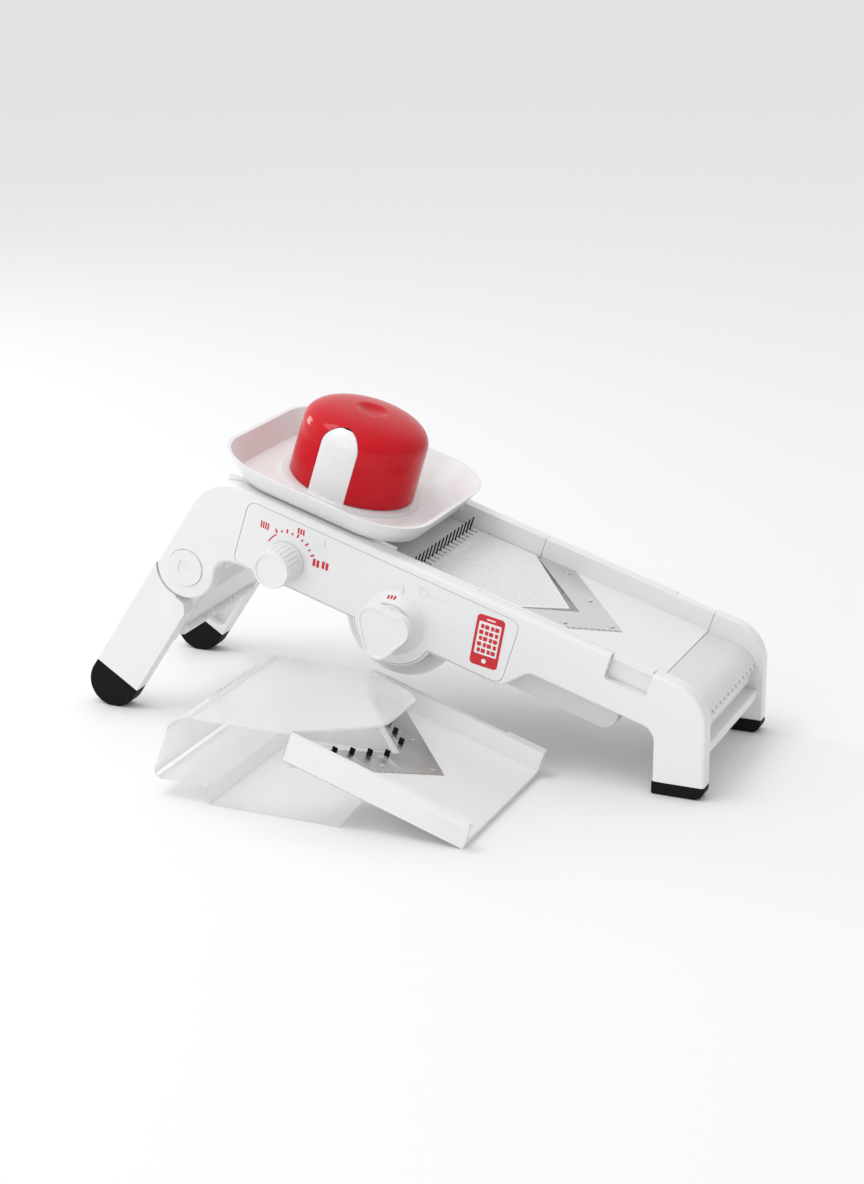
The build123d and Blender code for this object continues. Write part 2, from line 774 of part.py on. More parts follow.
def rear_leg(side):
    """One rear leg: outer slab under the cheek's lobe, inner hub beside it, and a recess on its inner face."""
    with BuildPart() as leg:
        with BuildSketch(leg_plane(side * half_width)):
            with Locations((foot_start / 2, foot_side)):
                Rectangle(foot_start, 2 * foot_radius)
            Circle(lobe_radius + 0.6, mode=Mode.SUBTRACT)
            # relief that lets the folded leg lie against the wall's rounded inner corner
            Polygon(
                (8, -4), (20.9, -4), (21.6, -11), (24, -13.4), (27.5, -front_edge - 0.1),
                (27.5, -front_edge - 4), (8, -front_edge - 4), align=None, mode=Mode.SUBTRACT,
            )
            with Locations((-10, 0)):
                Rectangle(24, 80, mode=Mode.SUBTRACT)
        extrude(amount=-side * leg_thickness)
        with BuildSketch(leg_plane(side * hub_inner)):
            Circle(hub_radius)
            with Locations((28, -1)):
                Rectangle(56, 27)
        extrude(amount=side * (inner_face - 0.4 - hub_inner))
        with BuildSketch(leg_plane(side * leg_inner)):
            with Locations((75, -4)):
                RectangleRounded(30, 16, 6)
        extrude(amount=side * 8, mode=Mode.SUBTRACT)
        with BuildSketch(leg_plane(side * hub_inner)):
            Circle(pin_radius)
        extrude(amount=side * 30, mode=Mode.SUBTRACT)
    return leg


def rear_foot(side):
    """Round rubber shoe on the end of a rear leg, flat where it meets the table."""
    with BuildPart() as foot:
        with BuildSketch(leg_plane(side * half_width)):
            with Locations(((foot_start + foot_reach) / 2, foot_side)):
                Rectangle(foot_reach - foot_start, 2 * foot_radius)
            with Locations((foot_reach, foot_side)):
                Circle(foot_radius)
            with Locations((foot_start, foot_side)):
                Rectangle(60, 80, align=(Align.MAX, Align.CENTER), mode=Mode.SUBTRACT)
        extrude(amount=-side * leg_thickness)
        with BuildSketch(Plane.XY):
            with Locations((pivot_x, middle_y + side * half_width)):
                Rectangle(300, 80)
        extrude(amount=-20, mode=Mode.SUBTRACT)
    return foot


for side, word in ((-1, "near"), (1, "far")):
    save(rear_leg(side), f"rear_leg_{word}")
    save(rear_foot(side), f"rear_foot_{word}")
    with BuildPart() as pivot_cap:
        with BuildSketch(side_plane(side * (half_width - 1.5))):
            with Locations((pivot_u, pivot_h)):
                Circle(pivot_cap_radius)
        extrude(amount=side * 2.3)
        with BuildSketch(side_plane(side * (half_width + 0.8))):
            with Locations((pivot_u, pivot_h)):
                RectangleRounded(9, 9, 2.5)
        extrude(amount=-side * 0.7, mode=Mode.SUBTRACT)
    save(pivot_cap, f"pivot_cap_{word}")

with BuildPart() as leg_pivot_pins:
    for side in (-1, 1):
        with BuildSketch(leg_plane(side * hub_inner)):
            Circle(pin_radius)
        extrude(amount=side * (half_width - 1.5 - fit_gap - hub_inner))
save(leg_pivot_pins, "leg_pivot_pins")

with BuildPart() as leg_crossbar:
    with BuildSketch(leg_plane(-hub_inner)):
        with BuildLine():
            Polyline(
                (crossbar_start, -4),
                (crossbar_start + 1, -front_edge + 3),
                (crossbar_start + 9, -front_edge),
                (crossbar_end, -front_edge),
                (crossbar_end, -front_edge + crossbar_thickness),
                (crossbar_start + 10, -front_edge + crossbar_thickness),
                (crossbar_start + 4, -front_edge + crossbar_thickness + 2.5),
                (crossbar_start + 3, -4),
                close=True,
            )
        make_face()
    extrude(amount=2 * hub_inner)
save(leg_crossbar, "leg_crossbar")

with BuildPart() as leg_grip_bar:
    with BuildSketch(leg_plane(-hub_inner)):
        with Locations((crossbar_end + grip_radius, -front_edge + crossbar_thickness / 2)):
            Circle(grip_radius)
    extrude(amount=2 * hub_inner)
    ring_start = -34
    for step in range(9):
        with BuildSketch(leg_plane(ring_start + 6 * step)):
            with Locations((crossbar_end + grip_radius, -front_edge + crossbar_thickness / 2)):
                Circle(grip_radius + 1)
                Circle(grip_radius - 0.6, mode=Mode.SUBTRACT)
            with Locations((crossbar_end + grip_radius - 4.6, -front_edge + crossbar_thickness / 2)):
                Rectangle(30, 30, align=(Align.MAX, Align.CENTER), mode=Mode.SUBTRACT)
        extrude(amount=2.4, mode=Mode.SUBTRACT)
save(leg_grip_bar, "leg_grip_bar")

# ============================================================ thickness dial, shaft and lift cam
dial_gap = 0.4
dial_outer = -half_width - dial_gap - dial_length
with BuildPart() as dial_knob:
    with BuildSketch(side_plane(-half_width - dial_gap)):
        with Locations((dial_u, dial_h)):
            Circle(dial_radius + 1.0)
    extrude(amount=-2.5)
    with BuildSketch(side_plane(-half_width - dial_gap - 2.5)):
        with Locations((dial_u, dial_h)):
            Circle(dial_radius + 0.6)
    extrude(amount=-(dial_length - 4.5))
    with BuildSketch(side_plane(-half_width - dial_gap - 2.5)):
        with Locations((dial_u, dial_h)):
            with PolarLocations(dial_radius + 1.0, 24):
                Circle(0.9)
    extrude(amount=-(dial_length - 4.5), mode=Mode.SUBTRACT)
    with BuildSketch(side_plane(dial_outer + 2.0)):
        with Locations((dial_u, dial_h)):
            Circle(dial_radius)
    extrude(amount=-2.0)
    with BuildSketch(side_plane(dial_outer)):
        with Locations((dial_u, dial_h)):
            Circle(dial_radius - 1.6)
    extrude(amount=0.8, mode=Mode.SUBTRACT)
    with BuildSketch(side_plane(-half_width - dial_gap)):
        with Locations((dial_u, dial_h)):
            Circle(dial_shaft_radius)
    extrude(amount=-(dial_length - 5), mode=Mode.SUBTRACT)
save(dial_knob, "dial_knob")

with BuildPart() as dial_shaft:
    with BuildSketch(side_plane(dial_outer + 5)):
        with Locations((dial_u, dial_h)):
            Circle(dial_shaft_radius)
    extrude(amount=inner_face + wall - 2.0 - (dial_outer + 5))
save(dial_shaft, "dial_shaft")

hinge_arm = hinge_u - dial_u
cam_fall = hinge_arm * tan(radians(ramp_drop_angle))


def cam_edge(turn):
    """Point on the lift cam, a given turn in degrees past the highest point."""
    radius = cam_radius - cam_fall * turn / dial_turn
    angle = radians(90 - turn)
    return (dial_u + radius * cos(angle), dial_h + radius * sin(angle))


with BuildPart() as lift_cam:
    with BuildSketch(side_plane(cam_y - cam_width / 2)):
        with BuildLine():
            Spline([cam_edge(-15 + 15 * k) for k in range(20)])
            Line(cam_edge(270), cam_edge(-15))
        make_face()
        with Locations((dial_u, dial_h)):
            Circle(dial_shaft_radius, mode=Mode.SUBTRACT)
    extrude(amount=cam_width)
save(lift_cam, "lift_cam")

# ============================================================ slicing ramp and its hinge pins
follower_bottom = dial_h + cam_radius + 0.35
with BuildPart() as slicing_ramp:
    with BuildSketch(deck_plane(deck_h)):
        v_end = ramp_v_u + ramp_v_slope * ramp_half_width
        with BuildLine():
            Polyline(
                (hinge_u, -ramp_half_width), (v_end, -ramp_half_width), (ramp_v_u, 0),
                (v_end, ramp_half_width), (hinge_u, ramp_half_width), close=True,
            )
        make_face()
    extrude(amount=-ramp_thickness)
    with BuildSketch(deck_plane(deck_h)):
        skirt_back = ramp_skirt_thickness / cos(radians(45))
        with BuildLine():
            Polyline(
                (v_end, -ramp_half_width), (ramp_v_u, 0), (v_end, ramp_half_width),
                (v_end + skirt_back, ramp_half_width), (ramp_v_u + skirt_back, 0),
                (v_end + skirt_back, -ramp_half_width), close=True,
            )
        make_face()
    extrude(amount=-ramp_skirt)
    with BuildSketch(side_plane(-ramp_half_width)):
        with Locations((hinge_u, hinge_h)):
            Circle(hinge_radius)
    extrude(amount=2 * ramp_half_width)
    with BuildSketch(side_plane(cam_y - cam_width / 2)):
        with Locations((dial_u, follower_bottom)):
            Rectangle(6, deck_h - 1 - follower_bottom, align=(Align.CENTER, Align.MIN))
    extrude(amount=cam_width)
    with BuildSketch(deck_plane(deck_h)):
        with GridLocations(1, tine_pitch, 1, tine_count):
            with Locations((tine_u - 1.9, 0)):
                Rectangle(6.2, tine_width + 0.9)
    extrude(amount=-ramp_thickness, mode=Mode.SUBTRACT)
    for side in (-1, 1):
        with BuildSketch(side_plane(side * (ramp_half_width - hinge_pin_reach))):
            with Locations((hinge_u, hinge_h)):
                Circle(hinge_pin_radius)
        extrude(amount=side * 2 * hinge_pin_reach, mode=Mode.SUBTRACT)
save(slicing_ramp, "slicing_ramp")

with BuildPart() as ramp_hinge_pins:
    for side in (-1, 1):
        with BuildSketch(side_plane(side * (ramp_half_width - hinge_pin_reach))):
            with Locations((hinge_u, hinge_h)):
                Circle(hinge_pin_radius)
        extrude(amount=side * (inner_face - ramp_half_width + 2 * hinge_pin_reach))
save(ramp_hinge_pins, "ramp_hinge_pins")

# ============================================================ julienne selector: knob, shaft with pinion
knob_top = -half_width - selector_reach
knob_bottom = -half_width - boss_height - 0.4
knob_turn = 180 - (12 + slope)
with BuildPart() as selector_knob:
    with BuildSketch(side_plane(knob_bottom)):
        with Locations((selector_u, selector_h)):
            Circle(13.5)
    extrude(amount=-4)
    with BuildSketch(side_plane(knob_bottom - 4)) as triangle:
        with Locations((selector_u, selector_h)):
            RegularPolygon(selector_knob_radius + knob_corner, 3, rotation=knob_turn)
        fillet(triangle.vertices(), knob_corner)
    extrude(amount=knob_top - (knob_bottom - 4))
    with BuildSketch(side_plane(knob_top)) as dish:
        with Locations((selector_u, selector_h)):
            RegularPolygon(selector_knob_radius + knob_corner - 3.6, 3, rotation=knob_turn)
        fillet(dish.vertices(), knob_corner - 1.8)
    extrude(amount=0.7, mode=Mode.SUBTRACT)
    with BuildSketch(side_plane(knob_bottom)):
        with Locations((selector_u, selector_h)):
            Circle(selector_shaft_radius)
    extrude(amount=-7, mode=Mode.SUBTRACT)
save(selector_knob, "selector_knob")

pinion_far = -43.1
pinion_near = -46.9
tooth_half = pinion_module * pi / 4 - 0.28
with BuildPart() as selector_shaft:
    with BuildSketch(side_plane(knob_bottom - 7)):
        with Locations((selector_u, selector_h)):
            Circle(selector_shaft_radius)
    extrude(amount=pinion_far - (knob_bottom - 7))
    with BuildSketch(side_plane(pinion_near)):
        root = pinion_radius - 1.35 * pinion_module
        tip = pinion_radius + 0.85 * pinion_module
        with Locations((selector_u, selector_h)):
            Circle(root)
            with PolarLocations(0, pinion_teeth):
                Polygon(
                    (root - 0.6, -tooth_half - 0.35), (pinion_radius, -tooth_half), (tip, -0.38),
                    (tip, 0.38), (pinion_radius, tooth_half), (root - 0.6, tooth_half + 0.35), align=None,
                )
    extrude(amount=pinion_far - pinion_near)
save(selector_shaft, "selector_shaft")

# ============================================================ tine carrier with its rack, and the tines
rack_pitch_u = selector_u + pinion_radius
rack_tooth = pinion_module * pi
rack_face = rack_pitch_u + 1.35 * pinion_module
rack_back = rack_pitch_u + 5.5
bar_front = selector_u + selector_shaft_radius + 0.5
carrier_top = -23.5
carrier_depth = 7.0
tine_root = 5.0
carrier_end = housing_half_width - housing_wall - 0.6
with BuildPart() as tine_carrier:
    with BuildSketch(side_plane(-carrier_end)):
        with Locations((bar_front, carrier_top)):
            Rectangle(rack_back - bar_front, carrier_depth, align=(Align.MIN, Align.MAX))
    extrude(amount=2 * carrier_end)
    # a gap in the bar for the pinion to turn in
    with BuildSketch(side_plane(pinion_near - 0.5)):
        with Locations((rack_face, carrier_top + 1)):
            Rectangle(20, 20, align=Align.MAX)
    extrude(amount=pinion_far - pinion_near + 1.0, mode=Mode.SUBTRACT)
    with BuildSketch(side_plane(pinion_near)):
        with Locations((rack_face, -21)):
            Rectangle(rack_back - rack_face, 22.5, align=(Align.MIN, Align.MAX))
        for k in range(-1, 5):
            centre = selector_h + (k + 0.5) * rack_tooth
            crest = rack_pitch_u - 0.85 * pinion_module
            Polygon(
                (rack_face + 0.6, centre - tooth_half - 0.3), (rack_pitch_u, centre - tooth_half),
                (crest, centre - 0.38), (crest, centre + 0.38),
                (rack_pitch_u, centre + tooth_half), (rack_face + 0.6, centre + tooth_half + 0.3), align=None,
            )
    extrude(amount=pinion_far - pinion_near)
    with BuildSketch(deck_plane(carrier_top)):
        with GridLocations(1, tine_pitch, 1, tine_count):
            with Locations((tine_u, 0)):
                Rectangle(tine_depth, tine_width)
    extrude(amount=-tine_root, mode=Mode.SUBTRACT)
save(tine_carrier, "tine_carrier")

with BuildPart() as julienne_tines:
    with BuildSketch(deck_plane(carrier_top - tine_root)):
        with GridLocations(1, tine_pitch, 1, tine_count):
            with Locations((tine_u, 0)):
                Rectangle(tine_depth, tine_width)
    extrude(amount=deck_h + tine_height - (carrier_top - tine_root))
save(julienne_tines, "julienne_tines")


# ============================================================ food holder: carriage dish
def holder_plane(h):
    """Plane parallel to the deck at height h, centred on the food holder's axis."""
    return Plane(origin=holder_centre + square_up * h, x_dir=up_slope, z_dir=square_up)


def dish_outline(inset, share):
    """Rounded outline of the dish: share runs from 0 at its base to 1 at its rim."""
    length = tray_base_half_length + (tray_half_length - tray_base_half_length) * share - inset
    width = tray_base_half_width + (tray_half_width - tray_base_half_width) * share - inset
    RectangleRounded(2 * length, 2 * width, 30 + 8 * share - inset)


tray_base = tray_floor - tray_thickness
inner_share = tray_thickness / (tray_rim - tray_base)
rail_outer = inner_face - 0.6
with BuildPart() as carriage_tray:
    with BuildSketch(holder_plane(tray_base)):
        dish_outline(0, 0)
    with BuildSketch(holder_plane(tray_rim)):
        dish_outline(0, 1)
    loft()
    with BuildSketch(holder_plane(tray_floor)):
        dish_outline(tray_thickness * 1.3, inner_share)
    with BuildSketch(holder_plane(tray_rim)):
        dish_outline(tray_thickness * 1.1, 1)
    loft(mode=Mode.SUBTRACT)
    with BuildSketch(holder_plane(tray_base)):
        Circle(sleeve_outer + fit_gap)
    extrude(amount=10, mode=Mode.SUBTRACT)
    with BuildSketch(holder_plane(tray_base)):
        for side in (-1, 1):
            with Locations((0, side * (rail_outer - 1.3))):
                Rectangle(116, 2.6)
    extrude(amount=-6)
save(carriage_tray, "carriage_tray")

# ============================================================ food sleeve with collar and two guide pads
holder_axis = Axis(origin=holder_centre, direction=square_up)


def cap_profile(wall_radius, top_radius, bottom, shoulder, top):
    """Half section of a solid with the cap's round shape, drawn on the side plane beside the axis."""
    with BuildLine() as section:
        Polyline(
            (holder_u, top), (holder_u, bottom), (holder_u + wall_radius, bottom),
            (holder_u + top_radius, shoulder),
        )
        Bezier(
            (holder_u + top_radius, shoulder),
            (holder_u + top_radius - 0.4, shoulder + 0.68 * (top - shoulder)),
            (holder_u + 0.66 * top_radius, top),
            (holder_u, top),
        )
    make_face(section.edges())


def arch_outline(shrink):
    """The round-topped slot in the cap, on the side plane."""
    with Locations((holder_u, arch_centre)):
        Circle(arch_half_width - shrink)
        Rectangle(2 * (arch_half_width - shrink), 60, align=(Align.CENTER, Align.MAX))


with BuildPart() as food_sleeve:
    with BuildSketch(side_plane(0)):
        cap_profile(cap_radius - 0.2, cap_radius - 0.4, tray_floor, cap_shoulder, cap_top - 0.2)
    revolve(axis=holder_axis)
    with BuildSketch(side_plane(0)):
        cap_profile(sleeve_outer - 0.5, sleeve_outer - 0.5, tray_base, cap_shoulder, cap_top - cap_wall)
    revolve(axis=holder_axis, mode=Mode.SUBTRACT)
    # keep only the two guide pads of that shell
    with BuildSketch(side_plane(0)):
        arch_outline(fit_gap)
    extrude(amount=60, both=True, mode=Mode.INTERSECT)
    with BuildSketch(holder_plane(sleeve_bottom)):
        Circle(sleeve_outer)
    extrude(amount=sleeve_top - sleeve_bottom)
    with BuildSketch(holder_plane(tray_floor)):
        Circle(sleeve_outer + 8)
    extrude(amount=2.4)
    with BuildSketch(holder_plane(sleeve_bottom)):
        Circle(sleeve_inner)
    extrude(amount=60, mode=Mode.SUBTRACT)
save(food_sleeve, "food_sleeve")

# ============================================================ red cap
with BuildPart() as cap_shell:
    with BuildSketch(side_plane(0)):
        cap_profile(cap_radius, cap_radius - 0.4, cap_bottom, cap_shoulder, cap_top)
    revolve(axis=holder_axis)
    with BuildSketch(side_plane(0)):
        cap_profile(cap_radius - cap_wall, cap_radius - cap_wall, cap_bottom, cap_shoulder, cap_top - cap_wall)
    revolve(axis=holder_axis, mode=Mode.SUBTRACT)
    with BuildSketch(holder_plane(boss_bottom)):
        Circle(10)
    extrude(amount=cap_top - cap_wall + 0.5 - boss_bottom)
    for side in (-1, 1):
        with BuildSketch(side_plane(side * arch_depth)):
            arch_outline(0)
        extrude(amount=side * 40, mode=Mode.SUBTRACT)
    # thumb dimple
    with BuildSketch(side_plane(0)):
        dimple_radius = 22
        with Locations((holder_u, cap_top + dimple_radius - 2.6)):
            Circle(dimple_radius)
            Rectangle(60, 60, align=(Align.MAX, Align.CENTER), mode=Mode.SUBTRACT)
    revolve(axis=holder_axis, mode=Mode.SUBTRACT)
    with BuildSketch(holder_plane(boss_bottom)):
        Circle(1.5)
    extrude(amount=5, mode=Mode.SUBTRACT)
save(cap_shell, "cap_shell")

# ============================================================ plunger stem, pusher plate and screw
with BuildPart() as plunger_stem:
    with BuildSketch(holder_plane(pusher_top)):
        Circle(stem_radius)
        Circle(stem_radius - 2.2, mode=Mode.SUBTRACT)
    extrude(amount=boss_bottom - pusher_top)
    with BuildSketch(holder_plane(boss_bottom - 3)):
        Circle(stem_radius - 1)
        Circle(1.5, mode=Mode.SUBTRACT)
    extrude(amount=3)
save(plunger_stem, "plunger_stem")

with BuildPart() as pusher_plate:
    with BuildSketch(holder_plane(pusher_bottom)):
        Circle(sleeve_inner - 0.5)
    extrude(amount=pusher_top - pusher_bottom)
    with BuildSketch(holder_plane(pusher_bottom)):
        with PolarLocations(24, 10):
            Circle(1.3)
        with PolarLocations(12, 6):
            Circle(1.3)
    extrude(amount=prong_tip - pusher_bottom, taper=8)
save(pusher_plate, "pusher_plate")

with BuildPart() as cap_screw:
    with BuildSketch(holder_plane(boss_bottom - 5)):
        Circle(3)
    extrude(amount=2)
    with BuildSketch(holder_plane(boss_bottom - 3)):
        Circle(1.5)
    extrude(amount=7)
save(cap_screw, "cap_screw")
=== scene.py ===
import bmesh
import bpy
import json
import math
from mathutils import Matrix, Vector


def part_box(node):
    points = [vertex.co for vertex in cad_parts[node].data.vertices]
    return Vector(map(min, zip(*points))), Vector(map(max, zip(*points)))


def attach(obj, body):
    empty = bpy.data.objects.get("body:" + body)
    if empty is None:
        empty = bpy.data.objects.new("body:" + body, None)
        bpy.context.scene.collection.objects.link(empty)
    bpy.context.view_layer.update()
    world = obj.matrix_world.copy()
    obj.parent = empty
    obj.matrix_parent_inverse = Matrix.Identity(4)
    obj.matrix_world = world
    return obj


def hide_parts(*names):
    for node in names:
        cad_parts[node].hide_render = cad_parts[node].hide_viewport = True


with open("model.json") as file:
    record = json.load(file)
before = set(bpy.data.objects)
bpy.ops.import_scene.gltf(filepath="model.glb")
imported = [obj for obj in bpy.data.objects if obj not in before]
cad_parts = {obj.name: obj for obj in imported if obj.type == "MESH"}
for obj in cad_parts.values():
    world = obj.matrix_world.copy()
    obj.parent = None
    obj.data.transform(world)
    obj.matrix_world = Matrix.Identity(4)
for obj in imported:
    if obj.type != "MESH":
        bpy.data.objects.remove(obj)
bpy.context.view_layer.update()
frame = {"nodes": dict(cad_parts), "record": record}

# ---------------------------------------------------------------- side frames
# The two long walls with their rims, rear cheeks and front legs. Each is one moulding in white
# gloss plastic, with softly rounded edges and a faint moulded grain.
# Places on the walls are given up the slope from the low end of the rim, and square to the rim.
joints = {joint["name"]: joint for joint in frame["record"]["behaviour"]["joints"]}
square_up = Vector(joints["plunger_slide"]["axis"]).normalized()
up_slope = -Vector(joints["carriage_slide"]["axis"]).normalized()
dial_place = Vector(joints["dial_turn"]["pos_m"])
dial_up, dial_under = 0.270, 0.0325
rim_start = dial_place - up_slope * dial_up + square_up * dial_under
slope_frame = Matrix((
    (up_slope.x, 0.0, square_up.x, rim_start.x),
    (up_slope.y, -1.0, square_up.y, rim_start.y),
    (up_slope.z, 0.0, square_up.z, rim_start.z),
    (0.0, 0.0, 0.0, 1.0),
))


def skin_group():
    """Shader group for moulded skins: slight tone drift, roughness drift and a fine grain height."""
    group = bpy.data.node_groups.new("moulded_skin", "ShaderNodeTree")
    face = group.interface
    face.new_socket("Colour", in_out="INPUT", socket_type="NodeSocketColor")
    for word, value in (
        ("Drift", 0.03), ("Roughness", 0.35), ("Rough drift", 0.03), ("Grain per metre", 1800.0),
    ):
        face.new_socket(word, in_out="INPUT", socket_type="NodeSocketFloat").default_value = value
    face.new_socket("Colour", in_out="OUTPUT", socket_type="NodeSocketColor")
    face.new_socket("Roughness", in_out="OUTPUT", socket_type="NodeSocketFloat")
    face.new_socket("Height", in_out="OUTPUT", socket_type="NodeSocketFloat")
    nodes, links = group.nodes, group.links
    given = nodes.new("NodeGroupInput")
    result = nodes.new("NodeGroupOutput")
    place = nodes.new("ShaderNodeTexCoord")
    cloud = nodes.new("ShaderNodeTexNoise")
    cloud.inputs["Scale"].default_value = 14.0
    cloud.inputs["Detail"].default_value = 4.0
    links.new(place.outputs["Object"], cloud.inputs["Vector"])
    smudge = nodes.new("ShaderNodeTexNoise")
    smudge.inputs["Scale"].default_value = 45.0
    smudge.inputs["Detail"].default_value = 6.0
    links.new(place.outputs["Object"], smudge.inputs["Vector"])
    grain = nodes.new("ShaderNodeTexNoise")
    grain.inputs["Detail"].default_value = 2.0
    links.new(place.outputs["Object"], grain.inputs["Vector"])
    links.new(given.outputs["Grain per metre"], grain.inputs["Scale"])
    # the colour is a little darker where the cloud is dense
    shade = nodes.new("ShaderNodeMath")
    shade.operation = "MULTIPLY"
    links.new(cloud.outputs["Fac"], shade.inputs[0])
    links.new(given.outputs["Drift"], shade.inputs[1])
    darker = nodes.new("ShaderNodeMix")
    darker.data_type = "RGBA"
    links.new(shade.outputs[0], darker.inputs["Factor"])
    links.new(given.outputs["Colour"], darker.inputs[6])
    darker.inputs[7].default_value = (0.12, 0.11, 0.10, 1.0)
    links.new(darker.outputs[2], result.inputs["Colour"])
    # the roughness swings to both sides of its given value
    centred = nodes.new("ShaderNodeMath")
    centred.operation = "SUBTRACT"
    links.new(smudge.outputs["Fac"], centred.inputs[0])
    centred.inputs[1].default_value = 0.5
    swing = nodes.new("ShaderNodeMath")
    swing.operation = "MULTIPLY_ADD"
    links.new(centred.outputs[0], swing.inputs[0])
    links.new(given.outputs["Rough drift"], swing.inputs[1])
    links.new(given.outputs["Roughness"], swing.inputs[2])
    links.new(swing.outputs[0], result.inputs["Roughness"])
    links.new(grain.outputs["Fac"], result.inputs["Height"])
    return group


moulded_skin = skin_group()


def moulded(name, colour, roughness, drift=0.03, grain=1800.0, depth=0.00002, strength=0.16):
    """A moulded plastic or rubber: one colour with the skin group's drift and grain."""
    material = bpy.data.materials.new(name)
    material.use_nodes = True
    material.diffuse_color = (*colour, 1.0)
    nodes, links = material.node_tree.nodes, material.node_tree.links
    shader = nodes["Principled BSDF"]
    skin = nodes.new("ShaderNodeGroup")
    skin.node_tree = moulded_skin
    skin.inputs["Colour"].default_value = (*colour, 1.0)
    skin.inputs["Drift"].default_value = drift
    skin.inputs["Roughness"].default_value = roughness
    skin.inputs["Grain per metre"].default_value = grain
    bump = nodes.new("ShaderNodeBump")
    bump.inputs["Strength"].default_value = strength
    bump.inputs["Distance"].default_value = depth
    links.new(skin.outputs["Colour"], shader.inputs["Base Color"])
    links.new(skin.outputs["Roughness"], shader.inputs["Roughness"])
    links.new(skin.outputs["Height"], bump.inputs["Height"])
    links.new(bump.outputs["Normal"], shader.inputs["Normal"])
    shader.inputs["IOR"].default_value = 1.48
    return material


def shown(mesh, name, body):
    """Puts a finished mesh into the scene on its body."""
    piece = bpy.data.objects.new(name, mesh)
    bpy.context.scene.collection.objects.link(piece)
    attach(piece, body)
    return piece


def softened(node, body, material, edge, steps=2):
    """The moulding of one node with its sharp edges rounded by the given width."""
    crease = math.radians(32)
    mesh = frame["nodes"][node].data.copy()
    shape = bmesh.new()
    shape.from_mesh(mesh)
    bmesh.ops.remove_doubles(shape, verts=shape.verts, dist=0.000002)
    bmesh.ops.dissolve_limit(shape, angle_limit=math.radians(0.6), verts=shape.verts, edges=shape.edges)
    shape.to_mesh(mesh)
    shape.free()
    mesh.materials.clear()
    mesh.materials.append(material)
    mesh.shade_smooth()
    mesh.set_sharp_from_angle(angle=crease)
    piece = shown(mesh, node + "_skin", body)
    if edge:
        rounding = piece.modifiers.new("rounded edges", "BEVEL")
        rounding.width = edge
        rounding.segments = steps
        rounding.limit_method = "ANGLE"
        rounding.angle_limit = crease
        rounding.use_clamp_overlap = True
        rounding.harden_normals = True
    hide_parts(node)
    return piece


white_plastic = moulded("white gloss plastic", (0.82, 0.82, 0.82), 0.28, drift=0.006)
for node in ("near_side_frame", "far_side_frame"):
    softened(node, "frame", white_plastic, 0.0012, 3)

# ---------------------------------------------------------------- crosspieces and low end
# White mouldings between the walls: the strip and bar between the front legs, the curved plate
# with the comb edge over the low end, and the plate under the ramp's hinge. Screwed in from inside.
for node, edge in (
    ("front_crosspiece", 0.0008), ("rear_crosspiece", 0.0008), ("mid_crosspiece", 0.0006),
):
    softened(node, "frame", white_plastic, edge)
# the end plate has a satin finish with a faint silvery tone
satin_plastic = moulded(
    "satin end plate", (0.745, 0.75, 0.755), 0.36, drift=0.01, grain=2600.0, strength=0.4,
)
satin_plastic.node_tree.nodes["Principled BSDF"].inputs["Metallic"].default_value = 0.3
softened("end_plate", "frame", satin_plastic, 0.0005)

# ---------------------------------------------------------------- front feet
# Square shoes with one rounded corner that keep the slicer from sliding on the table. They are
# moulded in black rubber with a dull skin, and pushed over the ends of the front legs.
foot_rubber = moulded(
    "black foot rubber", (0.005, 0.005, 0.0054), 0.62, drift=0.0, grain=2600.0, strength=0.5,
)
foot_rubber.node_tree.nodes["Principled BSDF"].inputs["Specular IOR Level"].default_value = 0.14
for node in ("front_foot_near", "front_foot_far"):
    softened(node, "frame", foot_rubber, 0.0012, 3)

# ---------------------------------------------------------------- control panel
# Thin cover let into the near wall, moulded in matt white, with the flared boss under the selector
# knob. A red scale round the dial, a red diagram card and red dashes on the boss are printed on it.
panel_plastic = moulded(
    "matt panel plastic", (0.81, 0.81, 0.812), 0.42, drift=0.006, grain=2400.0, strength=0.35,
)
softened("control_panel", "frame", panel_plastic, 0.0004)
print_red = moulded("red print", (0.60, 0.015, 0.022), 0.45, drift=0.03)
print_white = moulded("white print", (0.84, 0.84, 0.84), 0.5, drift=0.0)
panel_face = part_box("near_side_frame")[0].y


def wall_prism(points, y, thickness):
    """Flat prism on the near wall from points up the slope and above the rim, facing the control side."""
    shape = bmesh.new()
    rings = []
    for depth in (y, y - thickness):
        ring = []
        for u, h in points:
            spot = rim_start + up_slope * u + square_up * h
            ring.append(shape.verts.new((spot.x, depth, spot.z)))
        rings.append(ring)
    count = len(points)
    shape.faces.new(rings[1])
    shape.faces.new(list(reversed(rings[0])))
    for k in range(count):
        after = (k + 1) % count
        shape.faces.new((rings[0][k], rings[0][after], rings[1][after], rings[1][k]))
    bmesh.ops.recalc_face_normals(shape, faces=shape.faces)
    return shape


def print_on_wall(name, shapes, material, lift=0.00012):
    """Joins flat printed shapes into one thin mesh that stands off the near wall's panel by the lift."""
    whole = bmesh.new()
    for points in shapes:
        part = wall_prism(points, panel_face, lift)
        scrap = bpy.data.meshes.new("scrap")
        part.to_mesh(scrap)
        part.free()
        whole.from_mesh(scrap)
        bpy.data.meshes.remove(scrap)
    mesh = bpy.data.meshes.new(name)
    whole.to_mesh(mesh)
    whole.free()
    mesh.materials.append(material)
    return shown(mesh, name, "frame")


def stroke(start, end, width):
    """Corners of a straight printed line."""
    run = Vector((end[0] - start[0], end[1] - start[1]))
    side = Vector((-run.y, run.x)).normalized() * width / 2
    return [
        (start[0] + side.x, start[1] + side.y),
        (start[0] - side.x, start[1] - side.y),
        (end[0] - side.x, end[1] - side.y),
        (end[0] + side.x, end[1] + side.y),
    ]


